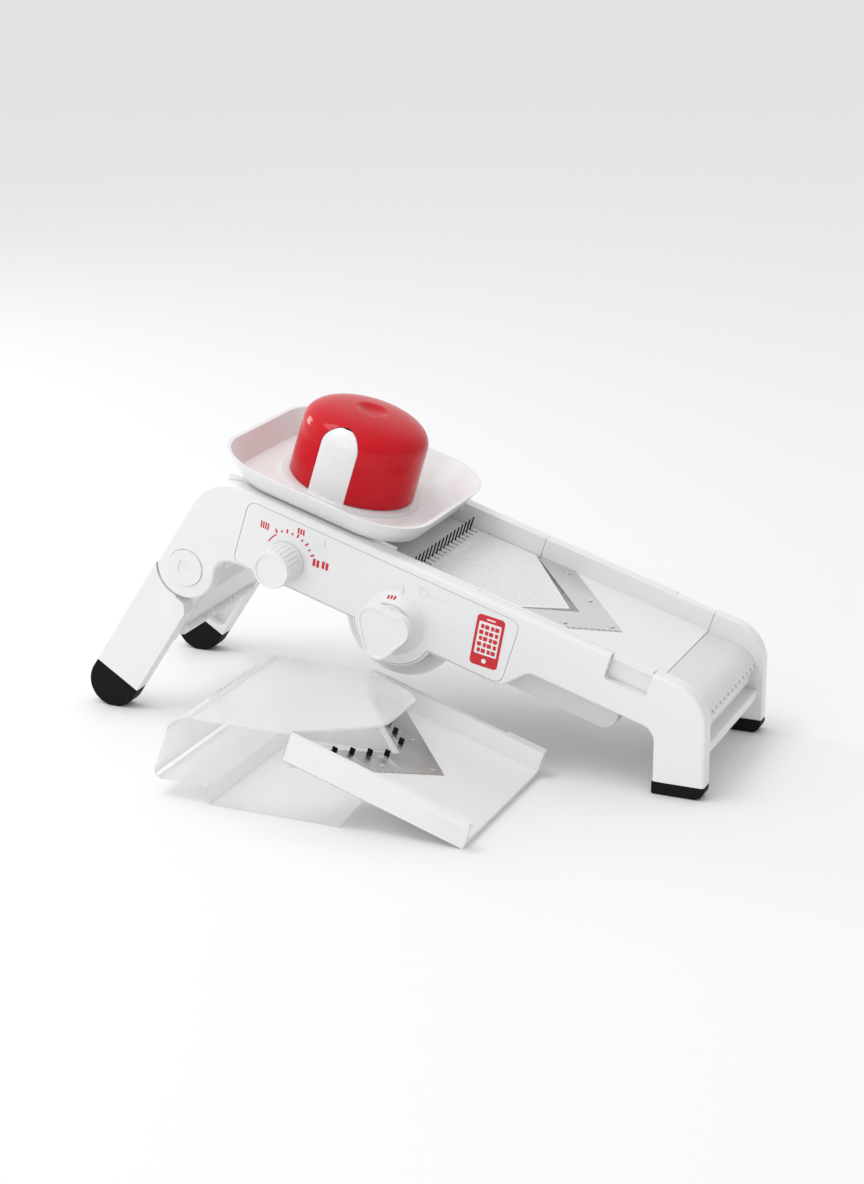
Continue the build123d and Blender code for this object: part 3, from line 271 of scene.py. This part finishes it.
def round_dial(angle, radius):
    """Point (up slope, above rim) at an angle and distance from the dial's middle."""
    turned = math.radians(angle)
    return (dial_up + radius * math.cos(turned), -dial_under + radius * math.sin(turned))


# the scale round the dial: nine ticks, long and short in turn
scale_marks = []
scale_start, scale_step = 57, 11.0
tick_inner, long_tick_outer, short_tick_outer, tick_width = 0.0182, 0.0208, 0.0196, 0.0011
for step in range(9):
    angle = scale_start + scale_step * step
    tick_outer = short_tick_outer if step % 2 else long_tick_outer
    scale_marks.append(stroke(round_dial(angle, tick_inner), round_dial(angle, tick_outer), tick_width))
# a curved stroke beside the low end of the scale, in five short runs that drift outwards
sweep_start, sweep_step, sweep_run = 30, 5, 5.6
sweep_inner, sweep_drift, sweep_width = 0.0158, 0.0003, 0.0008
for step in range(5):
    angle = sweep_start + sweep_step * step
    radius = sweep_inner + sweep_drift * step
    sweep_end = round_dial(angle + sweep_run, radius + sweep_drift)
    scale_marks.append(stroke(round_dial(angle, radius), sweep_end, sweep_width))
# little stacks of slices, thin at one end of the scale and thick at the other. Each has its angle
# and distance on the dial, its number of slices, and their pitch, width and length
slice_lean = 0.0006
for angle, radius, count, pitch, width, length in (
    (42, 0.0248, 4, 0.0016, 0.0009, 0.0044),
    (103, 0.0232, 3, 0.0018, 0.0011, 0.0034),
    (159, 0.0212, 2, 0.0026, 0.0018, 0.0046),
    (162, 0.0272, 2, 0.0026, 0.0018, 0.0046),
):
    stack_u, stack_h = round_dial(angle, radius)
    for slice_number in range(count):
        slice_u = stack_u + (slice_number - (count - 1) / 2) * pitch
        slice_foot = (slice_u, stack_h - length / 2)
        slice_top = (slice_u + slice_lean, stack_h + length / 2)
        scale_marks.append(stroke(slice_foot, slice_top, width))
print_on_wall("panel_marks", scale_marks, print_red)


# the middle of the diagram card on the panel, and its lean
card_up, card_under, card_tilt = 0.1338, 0.0251, math.radians(-6.5)


def card_shape(low_u, low_h, wide, tall, corner):
    """Rounded rectangle on the leaning card, as points round its edge, from its low corner's place."""
    points = []
    for quarter, (mid_u, mid_h) in enumerate((
        (low_u + wide - corner, low_h + tall - corner),
        (low_u + corner, low_h + tall - corner),
        (low_u + corner, low_h + corner),
        (low_u + wide - corner, low_h + corner),
    )):
        for step in range(7):
            angle = math.radians(90 * quarter + 15 * step)
            spot = (mid_u + corner * math.cos(angle), mid_h + corner * math.sin(angle))
            points.append((
                card_up + spot[0] * math.cos(card_tilt) - spot[1] * math.sin(card_tilt),
                -card_under + spot[0] * math.sin(card_tilt) + spot[1] * math.cos(card_tilt),
            ))
    return points


# the card's red field, then a white window with a short line over it and a round dot under it
print_on_wall("panel_card", [card_shape(-0.0089, -0.0161, 0.0178, 0.0322, 0.0026)], print_red)
print_on_wall("panel_card_window", [
    card_shape(-0.0071, -0.0088, 0.0142, 0.0206, 0.0007),
    card_shape(-0.0028, 0.0133, 0.0056, 0.0009, 0.0004),
    card_shape(-0.0015, -0.0141, 0.0030, 0.0030, 0.00149),
], print_white, lift=0.0002)
# plain red bars in the window, long and short in turn
bars_left, bars_low, column_pitch, row_pitch = -0.0061, -0.0076, 0.0032, 0.0038
long_bar, short_bar, bar_tall, bar_corner = 0.0027, 0.0021, 0.0026, 0.0004
window_bars = []
for row in range(5):
    for column in range(4):
        bar_wide = short_bar if (row + column) % 2 else long_bar
        bar_left = bars_left + column_pitch * column
        window_bars.append(
            card_shape(bar_left, bars_low + row_pitch * row, bar_wide, bar_tall, bar_corner),
        )
print_on_wall("panel_card_bars", window_bars, print_red, lift=0.00028)

# three short red dashes on the flare of the selector's boss
selector_place = Vector(joints["selector_turn"]["pos_m"])
boss_wide, boss_taper = 0.020, math.radians(32)


def on_boss(angle, out, lift):
    """Place on the boss's flare: angle round it, distance out from the wall, height off the surface."""
    turned = math.radians(angle)
    radius = boss_wide - out * math.tan(boss_taper) + lift * math.cos(boss_taper)
    spot = selector_place + (up_slope * math.cos(turned) + square_up * math.sin(turned)) * radius
    return (spot.x, panel_face - out - lift * math.sin(boss_taper), spot.z)


dashes = bmesh.new()
dash_top, dash_root = 0.00015, -0.00005
for start in (66, 73, 80):
    corners = []
    for lift in (dash_top, dash_root):
        for angle, out in (
            (start, 0.0030), (start + 4, 0.0034), (start + 3, 0.0058), (start - 1, 0.0054),
        ):
            corners.append(dashes.verts.new(on_boss(angle, out, lift)))
    dashes.faces.new(corners[:4])
    dashes.faces.new(list(reversed(corners[4:])))
    for k in range(4):
        after = (k + 1) % 4
        dashes.faces.new((corners[k], corners[k + 4], corners[after + 4], corners[after]))
bmesh.ops.recalc_face_normals(dashes, faces=dashes.faces)
dash_mesh = bpy.data.meshes.new("boss_dashes")
dashes.to_mesh(dash_mesh)
dashes.free()
dash_mesh.materials.append(print_red)
shown(dash_mesh, "boss_dashes", "frame")

# ---------------------------------------------------------------- pivot caps
# Round covers with a soft square dimple over the pins of the rear legs. They are moulded in the
# panel's matt plastic and pressed into the cheeks.
for node in ("pivot_cap_near", "pivot_cap_far"):
    softened(node, "frame", panel_plastic, 0.0006)

# ---------------------------------------------------------------- storage box
# Shallow tray with rounded ends that holds the small parts. It is one moulding, fixed on the inside of
# the near wall, and it shows under the wall's lower edge. Its grey is painted shade for the recess behind
# the wall's cut-out.
# painted shade: the box is coloured darker than the white mouldings to stand in for the shade in its
# recess
recess_shade_grey = moulded("grey painted recess shade", (0.64, 0.64, 0.63), 0.40)
softened("storage_box", "frame", recess_shade_grey, 0.0008)

# ---------------------------------------------------------------- blade insert
# White moulding that carries the V blade: a floor with a V opening, low side walls and grip flanges.
# The spare insert on the table is the same moulding with a toothed blade. Both blades are ground
# from steel sheet and riveted on.
for node, body in (("insert_frame", "frame"), ("spare_insert_frame", "spare_insert")):
    softened(node, body, white_plastic, 0.0005)


def brushed(name, colour, roughness, along):
    """Ground steel: metal with fine brush lines; along is the scale of the lines in each direction."""
    material = bpy.data.materials.new(name)
    material.use_nodes = True
    material.diffuse_color = (*colour, 1.0)
    nodes, links = material.node_tree.nodes, material.node_tree.links
    shader = nodes["Principled BSDF"]
    shader.inputs["Base Color"].default_value = (*colour, 1.0)
    shader.inputs["Metallic"].default_value = 1.0
    place = nodes.new("ShaderNodeTexCoord")
    stretch = nodes.new("ShaderNodeMapping")
    stretch.inputs["Scale"].default_value = along
    lines = nodes.new("ShaderNodeTexNoise")
    lines.inputs["Scale"].default_value = 1.0
    lines.inputs["Detail"].default_value = 5.0
    links.new(place.outputs["Object"], stretch.inputs["Vector"])
    links.new(stretch.outputs["Vector"], lines.inputs["Vector"])
    spread = nodes.new("ShaderNodeMapRange")
    spread.inputs["To Min"].default_value = roughness - 0.07
    spread.inputs["To Max"].default_value = roughness + 0.09
    links.new(lines.outputs["Fac"], spread.inputs["Value"])
    links.new(spread.outputs["Result"], shader.inputs["Roughness"])
    bump = nodes.new("ShaderNodeBump")
    bump.inputs["Strength"].default_value = 0.2
    bump.inputs["Distance"].default_value = 0.00002
    links.new(lines.outputs["Fac"], bump.inputs["Height"])
    links.new(bump.outputs["Normal"], shader.inputs["Normal"])
    return material


blade_steel = brushed("brushed blade steel", (0.70, 0.70, 0.69), 0.30, (90.0, 2600.0, 90.0))
spare_steel = brushed("brushed spare steel", (0.62, 0.62, 0.60), 0.32, (90.0, 2600.0, 90.0))
dark_steel = brushed("dark tine steel", (0.02, 0.02, 0.021), 0.42, (300.0, 300.0, 900.0))
softened("v_blade", "frame", blade_steel, 0.0002, 1)
spare_sheet = softened("spare_blade", "spare_insert", spare_steel, 0.0002, 1)
# the upright teeth of the spare blade get the dark tine steel, whose black also paints in the shadows
# between the teeth:
# they are the faces that stand over its flat, which has the only large faces
spare_sheet.data.materials.append(dark_steel)
spare_tilt = math.radians(17.9)
spare_rise = Vector((math.sin(spare_tilt), 0.0, math.cos(spare_tilt)))
flat_area, tooth_root = 0.0002, 0.0008
spare_faces = spare_sheet.data.polygons
blade_level = max(face.center.dot(spare_rise) for face in spare_faces if face.area > flat_area)
for face in spare_faces:
    if face.center.dot(spare_rise) > blade_level + tooth_root:
        face.material_index = 1

# ---------------------------------------------------------------- blade rivets
# Small rivets in bright steel that hold the blades on their mouldings. Their heads lie on the blade,
# and their shanks go through it into the plastic.
bright_steel = brushed("bright steel", (0.72, 0.72, 0.72), 0.18, (700.0, 700.0, 700.0))
for node, body in (("blade_rivets", "frame"), ("spare_rivets", "spare_insert")):
    softened(node, body, bright_steel, 0.0004, 3)

# ---------------------------------------------------------------- slicing ramp
# White moulded plate that turns on steel pins at its high end. Its low end is cut to a V behind the
# blade, and fine ridges run down its lower part so that wet food doesn't stick.
softened("slicing_ramp", "ramp", white_plastic, 0.0004)
softened("ramp_hinge_pins", "ramp", bright_steel, 0.0003)


def rib_tree(name):
    """A row of thin ribs side by side on the deck. Each starts on the V edge, all end on one line."""
    tree = bpy.data.node_groups.new(name, "GeometryNodeTree")
    face = tree.interface
    for word, kind, value in (
        ("Ribs", "NodeSocketInt", 25),
        ("Pitch", "NodeSocketFloat", 0.004),
        ("Rib width", "NodeSocketFloat", 0.0007),
        ("Rib height", "NodeSocketFloat", 0.0003),
        ("V point", "NodeSocketFloat", 0.112),
        ("V slope", "NodeSocketFloat", 0.84),
        ("High end", "NodeSocketFloat", 0.188),
        ("Deck", "NodeSocketFloat", -0.0126),
    ):
        face.new_socket(word, in_out="INPUT", socket_type=kind).default_value = value
    face.new_socket("Material", in_out="INPUT", socket_type="NodeSocketMaterial")
    face.new_socket("Geometry", in_out="OUTPUT", socket_type="NodeSocketGeometry")
    nodes, links = tree.nodes, tree.links
    given = nodes.new("NodeGroupInput")
    result = nodes.new("NodeGroupOutput")

    def calc(operation, first, second):
        """One sum of two values, each a number or another node's output."""
        step = nodes.new("ShaderNodeMath")
        step.operation = operation
        for place, value in enumerate((first, second)):
            if isinstance(value, (int, float)):
                step.inputs[place].default_value = value
            elif value is not None:
                links.new(value, step.inputs[place])
        return step.outputs[0]

    line = nodes.new("GeometryNodeMeshLine")
    links.new(given.outputs["Ribs"], line.inputs["Count"])
    number = nodes.new("GeometryNodeInputIndex")
    middle = calc("MULTIPLY", calc("SUBTRACT", given.outputs["Ribs"], 1.0), 0.5)
    across = calc("MULTIPLY", calc("SUBTRACT", number.outputs[0], middle), given.outputs["Pitch"])
    rise = calc("MULTIPLY", calc("ABSOLUTE", across, None), given.outputs["V slope"])
    low = calc("ADD", given.outputs["V point"], rise)
    length = calc("SUBTRACT", given.outputs["High end"], low)
    spot = nodes.new("ShaderNodeCombineXYZ")
    links.new(calc("ADD", low, calc("MULTIPLY", length, 0.5)), spot.inputs["X"])
    links.new(across, spot.inputs["Y"])
    links.new(given.outputs["Deck"], spot.inputs["Z"])
    placed = nodes.new("GeometryNodeSetPosition")
    links.new(line.outputs["Mesh"], placed.inputs["Geometry"])
    links.new(spot.outputs["Vector"], placed.inputs["Position"])
    size = nodes.new("ShaderNodeCombineXYZ")
    links.new(length, size.inputs["X"])
    links.new(given.outputs["Rib width"], size.inputs["Y"])
    links.new(calc("MULTIPLY", given.outputs["Rib height"], 2.0), size.inputs["Z"])
    bar = nodes.new("GeometryNodeMeshCube")
    copies = nodes.new("GeometryNodeInstanceOnPoints")
    links.new(placed.outputs["Geometry"], copies.inputs["Points"])
    links.new(bar.outputs["Mesh"], copies.inputs["Instance"])
    links.new(size.outputs["Vector"], copies.inputs["Scale"])
    real = nodes.new("GeometryNodeRealizeInstances")
    links.new(copies.outputs["Instances"], real.inputs["Geometry"])
    painted = nodes.new("GeometryNodeSetMaterial")
    links.new(real.outputs["Geometry"], painted.inputs["Geometry"])
    links.new(given.outputs["Material"], painted.inputs["Material"])
    links.new(painted.outputs["Geometry"], result.inputs["Geometry"])
    return tree


def grown(tree, name, values, place):
    """Runs a geometry tree with its named sizes and returns a plain mesh moved by the place matrix."""
    holder = bpy.data.objects.new(name + "_maker", bpy.data.meshes.new(name + "_maker"))
    bpy.context.scene.collection.objects.link(holder)
    maker = holder.modifiers.new(name, "NODES")
    maker.node_group = tree
    sockets = {item.name: item.identifier for item in tree.interface.items_tree if item.in_out == "INPUT"}
    for word, value in values.items():
        maker[sockets[word]] = value
    ready = holder.evaluated_get(bpy.context.evaluated_depsgraph_get())
    mesh = bpy.data.meshes.new_from_object(ready)
    bpy.data.objects.remove(holder)
    mesh.transform(place)
    mesh.name = name
    return mesh


ribs = grown(rib_tree("deck ribs"), "ramp_ribs", {
    "Ribs": 25, "Pitch": 0.004, "V point": 0.112, "High end": 0.188, "Material": white_plastic,
}, slope_frame)
shown(ribs, "ramp_ribs", "ramp")

# ---------------------------------------------------------------- julienne tines
# Row of thin upright steel blades that rise through slots in the ramp and cut slices into sticks.
# They are set in a white plastic bar, whose rack the selector's pinion moves.
softened("tine_carrier", "tines", white_plastic, 0.0003)
softened("julienne_tines", "tines", dark_steel, 0.00012, 1)

# ---------------------------------------------------------------- selector housing
# Round belly that hangs under the deck and covers the tines' works. It is a thin moulding in milky
# plastic that lets some light through. It is coloured paler than the other white mouldings, as painted
# light that lifts the shade under the deck.
# the pale colour is partly painted light against the shade under the deck, and the subsurface lets light
# through
milky_plastic_painted_light = moulded("milky plastic with painted light", (0.94, 0.945, 0.95), 0.28, drift=0.004)
milky_shader = milky_plastic_painted_light.node_tree.nodes["Principled BSDF"]
milky_shader.inputs["Subsurface Weight"].default_value = 0.6
milky_shader.inputs["Subsurface Radius"].default_value = (1.0, 1.0, 1.0)
milky_shader.inputs["Subsurface Scale"].default_value = 0.012
softened("selector_housing", "frame", milky_plastic_painted_light, 0.0005)

# ---------------------------------------------------------------- thickness dial
# Ribbed round knob in satin plastic on the near side. It is pressed on a steel shaft, which turns a
# plastic lift cam under the ramp.
knob_plastic = moulded("knob plastic", (0.82, 0.82, 0.82), 0.34, drift=0.006)
softened("dial_knob", "dial", knob_plastic, 0.0003)
softened("dial_shaft", "dial", bright_steel, 0.0003)
softened("lift_cam", "dial", panel_plastic, 0.0003)

# ---------------------------------------------------------------- julienne selector
# Rounded three-cornered knob in satin plastic on the panel's flared boss. Its steel shaft carries the
# pinion that moves the tines.
softened("selector_knob", "selector", knob_plastic, 0.0012, 3)
softened("selector_shaft", "selector", bright_steel, 0.0002, 1)

# ---------------------------------------------------------------- rear legs
# One folding yoke moulded in white plastic: two legs, a cross panel and a ribbed grip bar, with
# black rubber shoes. It turns on steel pins in the cheeks.
for node, edge in (
    ("rear_leg_near", 0.0011),
    ("rear_leg_far", 0.0011),
    ("leg_crossbar", 0.0006),
    ("leg_grip_bar", 0.0004),
):
    softened(node, "rear_legs", white_plastic, edge)
for node in ("rear_foot_near", "rear_foot_far"):
    softened(node, "rear_legs", foot_rubber, 0.0009)
softened("leg_pivot_pins", "rear_legs", bright_steel, 0.0003)

# ---------------------------------------------------------------- carriage dish
# White moulded dish that slides on the rims and shields the hand. The food sleeve is a second
# moulding, clipped in its middle.
softened("carriage_tray", "carriage", white_plastic, 0.0009, 3)
softened("food_sleeve", "carriage", white_plastic, 0.0005)

# ---------------------------------------------------------------- red cap and plunger
# Cap over the sleeve in polished red plastic, with a thumb dimple in its top. It carries the stem
# and the pronged pusher, which a screw holds together.
red_plastic = moulded(
    "red gloss plastic", (0.56, 0.001, 0.009), 0.26, drift=0.0, grain=900.0, strength=0.05,
)
red_shader = red_plastic.node_tree.nodes["Principled BSDF"]
red_shader.inputs["Specular IOR Level"].default_value = 0.05
red_shader.inputs["Coat Weight"].default_value = 0.42
red_shader.inputs["Coat Roughness"].default_value = 0.035
red_shader.inputs["Coat IOR"].default_value = 1.55
softened("cap_shell", "plunger", red_plastic, 0.0007, 3)
for node in ("plunger_stem", "pusher_plate"):
    softened(node, "plunger", panel_plastic, 0.0004)
softened("cap_screw", "plunger", bright_steel, 0.0002)

# ---------------------------------------------------------------- clear guard
# Thin cover for the spare insert's blade while it is stored. It is formed from one clear plastic
# sheet, with folded sides and a tongue, and the insert slides out of it.
clear_plastic = bpy.data.materials.new("clear sheet plastic")
clear_plastic.use_nodes = True
clear_nodes, clear_links = clear_plastic.node_tree.nodes, clear_plastic.node_tree.links
clear_shader = clear_nodes["Principled BSDF"]
clear_shader.inputs["Base Color"].default_value = (0.93, 0.935, 0.94, 1.0)
clear_shader.inputs["Transmission Weight"].default_value = 0.35
clear_shader.inputs["IOR"].default_value = 1.3
clear_place = clear_nodes.new("ShaderNodeTexCoord")
clear_haze = clear_nodes.new("ShaderNodeTexNoise")
clear_haze.inputs["Scale"].default_value = 60.0
clear_haze.inputs["Detail"].default_value = 6.0
clear_range = clear_nodes.new("ShaderNodeMapRange")
clear_range.inputs["To Min"].default_value = 0.14
clear_range.inputs["To Max"].default_value = 0.26
clear_links.new(clear_place.outputs["Object"], clear_haze.inputs["Vector"])
clear_links.new(clear_haze.outputs["Fac"], clear_range.inputs["Value"])
clear_links.new(clear_range.outputs["Result"], clear_shader.inputs["Roughness"])
# the sheet looks thin and clear face on, and milkier where it turns away
clear_turn = clear_nodes.new("ShaderNodeLayerWeight")
clear_turn.inputs["Blend"].default_value = 0.35
clear_cover = clear_nodes.new("ShaderNodeMapRange")
clear_cover.inputs["To Min"].default_value = 0.22
clear_cover.inputs["To Max"].default_value = 0.72
clear_links.new(clear_turn.outputs["Facing"], clear_cover.inputs["Value"])
clear_links.new(clear_cover.outputs["Result"], clear_shader.inputs["Alpha"])
guard_sheet = softened("clear_guard", "guard", clear_plastic, 0.0005, 3)
# the cut edges and tight bends of the sheet get a greyer, more opaque copy of the clear plastic. This is
# painted edge shade for the grey lines that the sheet's edges show in the light. They are the faces that
# are narrow for their length
clear_edge_shade = clear_plastic.copy()
clear_edge_shade.name = "clear sheet painted edge shade"
clear_edge_shade.node_tree.nodes["Principled BSDF"].inputs["Base Color"].default_value = (0.80, 0.80, 0.80, 1.0)
for reach in clear_edge_shade.node_tree.nodes:
    if reach.type == "MAP_RANGE" and reach.outputs["Result"].links[0].to_socket.name == "Alpha":
        reach.inputs["To Min"].default_value = 0.70
        reach.inputs["To Max"].default_value = 0.90
rim_width = 0.0017
sheet_mesh = guard_sheet.data
sheet_mesh.materials.append(clear_edge_shade)
for face in sheet_mesh.polygons:
    corners = [sheet_mesh.vertices[number].co for number in face.vertices]
    longest = max((corners[k] - corners[k - 1]).length for k in range(len(corners)))
    if face.area / longest < rim_width:
        face.material_index = 1

# ---------------------------------------------------------------- table, light and camera
# Plain pale table, one large soft light from above the left, two soft strips from the left and the
# front, and a pale studio sky.
table_mesh = bpy.data.meshes.new("table")
half = 40.0
table_mesh.from_pydata(
    [(-half, -half, 0.0), (half, -half, 0.0), (half, half, 0.0), (-half, half, 0.0)], [], [(0, 1, 2, 3)],
)
pale_table = moulded("pale table", (0.86, 0.865, 0.87), 0.6, drift=0.0, grain=300.0, strength=0.02)
table_mesh.materials.append(pale_table)
table = bpy.data.objects.new("table", table_mesh)
bpy.context.scene.collection.objects.link(table)

world = bpy.data.worlds.new("studio sky")
bpy.context.scene.world = world
world.use_nodes = True
sky_nodes, sky_links = world.node_tree.nodes, world.node_tree.links
sky_way = sky_nodes.new("ShaderNodeTexCoord")
sky_split = sky_nodes.new("ShaderNodeSeparateXYZ")
sky_links.new(sky_way.outputs["Generated"], sky_split.inputs["Vector"])
sky_rise = sky_nodes.new("ShaderNodeMapRange")
sky_rise.inputs["To Min"].default_value = 0.86
sky_rise.inputs["To Max"].default_value = 0.96
sky_links.new(sky_split.outputs["Z"], sky_rise.inputs["Value"])
# the side to the right of the set is a darker wall, so that gloss there turns deeper
sky_side = sky_nodes.new("ShaderNodeMapRange")
sky_side.interpolation_type = "SMOOTHSTEP"
sky_side.inputs["From Min"].default_value = -0.2
sky_side.inputs["From Max"].default_value = 0.9
sky_side.inputs["To Min"].default_value = 1.05
sky_side.inputs["To Max"].default_value = 0.66
sky_links.new(sky_split.outputs["X"], sky_side.inputs["Value"])
sky_both = sky_nodes.new("ShaderNodeMath")
sky_both.operation = "MULTIPLY"
sky_links.new(sky_rise.outputs["Result"], sky_both.inputs[0])
sky_links.new(sky_side.outputs["Result"], sky_both.inputs[1])
sky_nodes["Background"].inputs["Color"].default_value = (0.99, 0.99, 1.0, 1.0)
sky_links.new(sky_both.outputs[0], sky_nodes["Background"].inputs["Strength"])


def soft_light(name, place, target, wide, tall, power):
    """Rectangular soft light aimed at a point."""
    lamp = bpy.data.lights.new(name, "AREA")
    lamp.shape = "RECTANGLE"
    lamp.size = wide
    lamp.size_y = tall
    lamp.energy = power
    holder = bpy.data.objects.new(name, lamp)
    bpy.context.scene.collection.objects.link(holder)
    holder.location = place
    holder.rotation_euler = (Vector(target) - Vector(place)).to_track_quat("-Z", "Y").to_euler()


soft_light("key light", (-0.5, -0.35, 1.7), (0.0, 0.0, 0.05), 0.9, 0.9, 8.0)
soft_light("side strip", (-1.5, 0.35, 0.62), (-0.1, 0.0, 0.18), 0.35, 0.6, 4.5)
soft_light("front strip", (-0.2, -1.9, 0.38), (0.0, 0.0, 0.08), 0.9, 0.5, 4.0)
bpy.context.scene.view_settings.view_transform = "Standard"

camera_data = bpy.data.cameras.new("camera")
camera_data.sensor_width = 36.0
camera_data.lens = 76.5
camera_data.clip_end = 200.0
camera = bpy.data.objects.new("camera", camera_data)
bpy.context.scene.collection.objects.link(camera)
camera_turn, camera_rise = 23.33, 18.46
camera.location = (0.5919, -1.30455, 0.5765)
camera.rotation_euler = (math.radians(90 - camera_rise), 0.0, math.radians(camera_turn))
bpy.context.scene.camera = camera
